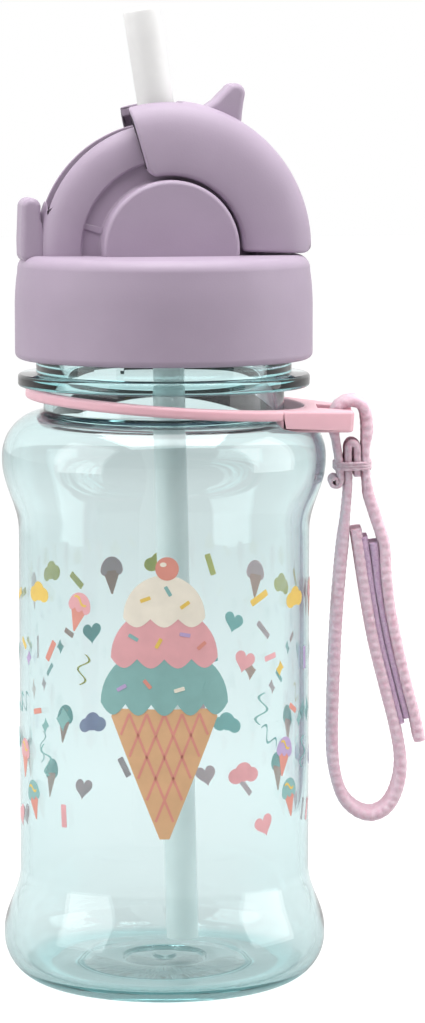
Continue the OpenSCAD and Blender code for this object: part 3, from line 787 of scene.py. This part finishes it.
def knitTape(name, route, s, thickness, outward):
    line, length = through([inStrap(*p) for p in route], s["step"])
    def section(run, j):
        half = level(thickness, run) / 2                # the pile is thinner where the tapes are bound
        bulge = outward * max(0, half - s["thick"] / 2)
        a, b, na, nb = tapeSide(j, s["around"], s["width"] - 0.3, half)
        row = a / s["wale"]
        drift = s["wander"] * math.sin(run * s["wanderRun"])
        loop = wave(2 * math.pi * (run / s["stitch"] + 0.5 * (round(row) % 2)) + drift)
        stitch = wave(2 * math.pi * row) * (0.45 + 0.55 * loop) - 0.5
        lift = s["relief"] * stitch * abs(nb) * min(1, half / 0.8)
        selvedge = wave(2 * math.pi * run / s["edgeLoop"]) * (1 if abs(na) > 0.5 else 0.4)
        lift += s["edgeRelief"] * abs(na) * selvedge
        return a + na * lift, b + nb * lift + bulge
    return made(name, swept(line, length, strapAcross, section, s["around"])), length

padSet = {"width": 8.8, "thick": 1.35, "step": 0.35, "around": 52, "root": 0.75, "rootRun": 14, "tuft": 0.11}

def fuzzyPad(name, route, s):
    line, length = through([inStrap(*p) for p in route], s["step"])
    def section(run, j):
        half = (s["thick"] + s["root"] * max(0, 1 - run / s["rootRun"])) / 2
        a, b, na, nb = tapeSide(j, s["around"], s["width"], half)
        tufts = math.cos(run * 8.1 + 1.3 * math.sin(a * 2.1)) * math.cos(a * 6.7 + math.sin(run * 1.7))
        lift = s["tuft"] * tufts
        return a + na * lift, b + nb * lift
    return made(name, swept(line, length, strapAcross, section, s["around"]))

tieSet = {"turns": 3, "perTurn": 24, "overlap": 5, "at": (41.35, 113.35), "rise": 1.75, "halfDeep": 3.85,
          "halfWide": 5.35, "step": 0.3, "yarn": 0.42, "strands": 3, "twist": 3.2, "around": 12}

def tieTurns(s):
    path, rounds = [], s["turns"] * s["perTurn"]        # turns of yarn round the bundle
    for k in range(rounds + s["overlap"]):
        a = 2 * math.pi * k / s["perTurn"]
        u, w = math.cos(a), math.sin(a)
        grow = 1 / (abs(u) ** 4 + abs(w) ** 4) ** 0.25
        path.append(inStrap(s["at"][0] + s["halfDeep"] * u * grow, s["at"][1] + s["rise"] * k / rounds,
                            s["halfWide"] * w * grow))
    line, length = through(path, s["step"])
    def section(run, j):
        a = 2 * math.pi * j / s["around"]
        r = s["yarn"] * (0.86 + 0.2 * math.cos(s["strands"] * a + run * s["twist"]))
        return r * math.cos(a), r * math.sin(a)
    return made("strapTie", swept(line, length, Vector((0, 0, 1)), section, s["around"]))

outerRoute = curled(strapSet["curlAt"]) + eyeRoute + tailRoute
outerTape, outerLength = knitTape("strapOuterTape", outerRoute, strapSet, outerThick, 1)
loopTape, loopLength = knitTape("strapLoopTape", foldRoute + loopRoute, strapSet, loopThick, 0)
hookPad = fuzzyPad("strapHookPad", hookRoute, padSet)
loopPad = fuzzyPad("strapLoopPad", padRoute, padSet)
tie = tieTurns(tieSet)
strapPieces = [(outerTape, tapeKnit, None, "webbing", ["strap_eye", "strap_tail"]),
               (loopTape, tapeKnit, "strap", "webbing", ["strap_loop"]),
               (hookPad, hookFuzz, "strap", "hook_tape", ["hook_pad"]),
               (loopPad, hookFuzz, "flap", "hook_tape", ["loop_pad"]),
               (tie, tieThread, "strap", "thread", ["strap_tie"])]
for piece, material, body, slot, nodes in strapPieces:
    finished(piece, material, body, nodes, sharp=80, weighted=False)
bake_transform(outerTape)

# print: thin ink shapes wrapped round the waist

printSet = {"radius": 32, "gap": 0.04, "ink": 0.035, "layer": 0.03, "chord": 2.4, "low": 37, "rowPitch": 11.6,
            "rows": 5, "columns": 18, "clear": 17.5}
inkColours = {"Pink": (0.78, 0.40, 0.42), "Coral": (0.72, 0.30, 0.24), "Yellow": (0.80, 0.56, 0.12),
              "Teal": (0.25, 0.47, 0.45), "Lavender": (0.50, 0.38, 0.62), "Cream": (0.86, 0.80, 0.68),
              "Sand": (0.72, 0.44, 0.24)}

def placed(outline, x, z, turn=0, size=1):
    c, w = math.cos(rad(turn)) * size, math.sin(rad(turn)) * size
    return [(x + p * c - q * w, z + p * w + q * c) for p, q in outline]

def oval(rx, rz, n=28):
    return [(rx * math.cos(2 * math.pi * k / n), rz * math.sin(2 * math.pi * k / n)) for k in range(n)]

def sparkle(r, n=32):
    turn = [2 * math.pi * k / n for k in range(n)]
    return [(r * 0.8 * math.cos(a) ** 3, r * math.sin(a) ** 3) for a in turn]

def heart(r, n=32):
    turn = [2 * math.pi * (k + 0.5) / n for k in range(n)]
    rise = [13 * math.cos(a) - 5 * math.cos(2 * a) - 2 * math.cos(3 * a) - math.cos(4 * a) for a in turn]
    return [(r * math.sin(a) ** 3, r / 16 * z) for a, z in zip(turn, rise)]

def ribbon(length, wide, waves=1.5, high=1.4, n=26):
    top = [(length * (k / n - 0.5), high * math.sin(2 * math.pi * waves * k / n) + wide / 2)
           for k in range(n + 1)]
    return top + [(x, z - wide) for x, z in top[::-1]]

def pill(length, wide):
    r, x, z = wide * 0.2, length / 2 - wide * 0.2, wide * 0.3
    return (arc(x, z, r, 90, 0, 3) + arc(x, -z, r, 0, -90, 3) + arc(-x, -z, r, -90, -180, 3)
            + arc(-x, z, r, 180, 90, 3))

def waferCone(half, high):
    right = [(half * 0.09, high * 0.03), (half, high * 0.94), (half * 0.93, high)]
    return right + [(-x, z) for x, z in right[::-1]]

def dollop(half, high, drips=4, drop=1.4, n=24):
    top = [(half * math.cos(math.pi * k / n), high * math.sin(math.pi * k / n)) for k in range(n + 1)]
    count = drips * 8
    hang = [-drop * abs(math.sin(math.pi * drips * k / count)) - 0.2 for k in range(1, count)]
    return top + [(-half + 2 * half * k / count, z) for k, z in enumerate(hang, 1)]

def between(a, b, t):
    return (a[0] + (b[0] - a[0]) * t, a[1] + (b[1] - a[1]) * t)

def bar(a, b, wide):
    x, z, turn = math.dist(a, b) / 2, wide / 2, math.degrees(math.atan2(b[1] - a[1], b[0] - a[0]))
    return placed([(-x, -z), (x, -z), (x, z), (-x, z)], (a[0] + b[0]) / 2, (a[1] + b[1]) / 2, turn)

scoops = [("Teal", 14, 12.5, 5, 2.4, 66.2), ("Pink", 11.6, 11, 4, 2.0, 76), ("Cream", 8.8, 9.2, 3, 1.8, 84.6)]
sprinkles = [("Lavender", -9.2, 69.5, 30), ("Coral", -3.6, 70.4, -50), ("Cream", 3.2, 69.2, 15),
             ("Teal", 9, 70, 70), ("Teal", -6.6, 80.4, -30), ("Yellow", -1.2, 79.2, 60),
             ("Lavender", 4.4, 81, -10), ("Coral", 8, 78.6, 40), ("Yellow", -4, 88.6, 20),
             ("Teal", 0.8, 90.4, -60), ("Yellow", 4.4, 87.4, 35)]

def bigCone():
    foot, left, right = (0, 36), (-11.3, 64), (11.3, 64)
    shapes = [("Sand", placed(waferCone(11.6, 29), *foot), 0)]
    for k in range(1, 6):
        for near, far in ((left, right), (right, left)):
            shapes.append(("Coral", bar(between(foot, near, k / 6), between(far, near, k / 6), 0.55), 1))
    for layer, (colour, half, high, drips, drop, z) in enumerate(scoops, 2):
        shapes.append((colour, placed(dollop(half, high, drips, drop), 0, z), layer))
    shapes.append(("Coral", placed(oval(2.5, 2.5), 0.6, 95.2), 5))
    shapes.append(("Cream", placed(oval(0.7, 0.5), -0.2, 96.1), 6))
    return shapes + [(colour, placed(pill(2.3, 0.8), x, z, turn), 5) for colour, x, z, turn in sprinkles]

def smallCone(k, x, z, lean):
    def along(up):
        return placed([(0, up)], x, z - 3.4, lean)[0]
    return [("Coral", placed(waferCone(2.1, 5.6), x, z - 3.4, lean), 0),
            (("Teal", "Lavender", "Pink")[k % 3], placed(dollop(2.9, 3.3, 3, 0.8), *along(5.5), lean), 1),
            ("Yellow", placed(ribbon(3.6, 0.55, 1, 0.4), *along(7.0), lean - 20), 2)]

def puffCloud(colour, x, z):
    puffs = ((1.9, 1.7, -1.9, -0.3), (2.2, 2.1, 0, 0.5), (1.8, 1.6, 2, -0.2))
    return [(colour, placed(oval(rx, rz), x + dx, z + dz), 0) for rx, rz, dx, dz in puffs]

def scattered(s):
    shapes, names = [], list(inkColours)[:5]
    pitch = 2 * math.pi * s["radius"] / s["columns"]
    for column in range(s["columns"]):
        for row in range(s["rows"]):
            k = column * 5 + row * 3 + (column * row) % 4
            x = (column - s["columns"] / 2 + 0.5 * (row % 2)) * pitch + 1.6 * math.sin(k * 2.3)
            z = s["low"] + 3 + row * s["rowPitch"] + 2.2 * math.sin(k * 1.7)
            if abs(x) < s["clear"]:
                continue
            turn, colour = 38 * math.sin(k * 1.3), names[k % 5]
            kind = (column * 2 + row * 3 + column // 3) % 7
            if kind == 0:
                shapes += smallCone(k, x, z, turn * 0.4)
            elif kind == 1:
                shapes.append((colour, placed(sparkle(2.7), x, z, 0), 0))
            elif kind == 2:
                shapes.append((colour, placed(pill(5, 1.5), x, z, turn + 55), 0))
            elif kind == 3:
                squiggle = placed(ribbon(7, 0.7, 1.5, 1.5), x, z, turn + 70)
                shapes.append((("Yellow", "Teal")[k % 2], squiggle, 0))
            elif kind == 4:
                shapes.append((("Lavender", "Pink", "Teal")[k % 3], placed(heart(2.6), x, z, turn * 0.7), 0))
            elif kind == 5:
                shapes += puffCloud(colour, x, z)
            else:
                shapes += [(colour, placed(pill(3.4, 1.2), x - 1, z + 1.2, turn), 0),
                           (names[(k + 2) % 5], placed(sparkle(1.7), x + 2.2, z - 1.6, 0), 0)]
    return shapes

def printed(name, shapes, s):
    parts = []
    for outline, layer in shapes:
        part = bmesh.new()
        outline = thin(outline)
        if math.dist(outline[0], outline[-1]) < 1e-3:
            outline.pop()
        part.faces.new([part.verts.new((x, z, s["gap"])) for x, z in outline])
        bmesh.ops.triangulate(part, faces=part.faces[:])
        low, high = min(x for x, z in outline), max(x for x, z in outline)
        for k in range(math.floor(low / s["chord"]) + 1, math.ceil(high / s["chord"])):
            bmesh.ops.bisect_plane(part, geom=whole(part), dist=1e-5, plane_co=(k * s["chord"], 0, 0),
                                   plane_no=(1, 0, 0))
        thicken(part, part.faces[:], (0, 0, s["ink"] + layer * s["layer"]))
        parts.append(part)
    bm, front = joined(parts), rad(cameraSet["azimuth"])
    for v in bm.verts:
        r, a = s["radius"] + v.co.z, v.co.x / s["radius"] + front
        v.co = (r * math.sin(a), -r * math.cos(a), v.co.y)
    bmesh.ops.recalc_face_normals(bm, faces=bm.faces)
    return made(name, bm)

motifs = bigCone() + scattered(printSet)
for colour, shade in inkColours.items():
    shapes = [(outline, layer) for name, outline, layer in motifs if name == colour]
    layerPiece = printed("print" + colour, shapes, printSet)
    finished(layerPiece, ink("ink" + colour, shade), "bottle", sharp=30, weighted=False)

# nodes from the frame that keep their shape

for node, material in {"lower_straw": strawTube, "lid_seal": sealSilicone, "air_valve": sealSilicone}.items():
    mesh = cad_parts[node].data
    mesh.materials.clear()
    mesh.materials.append(material)
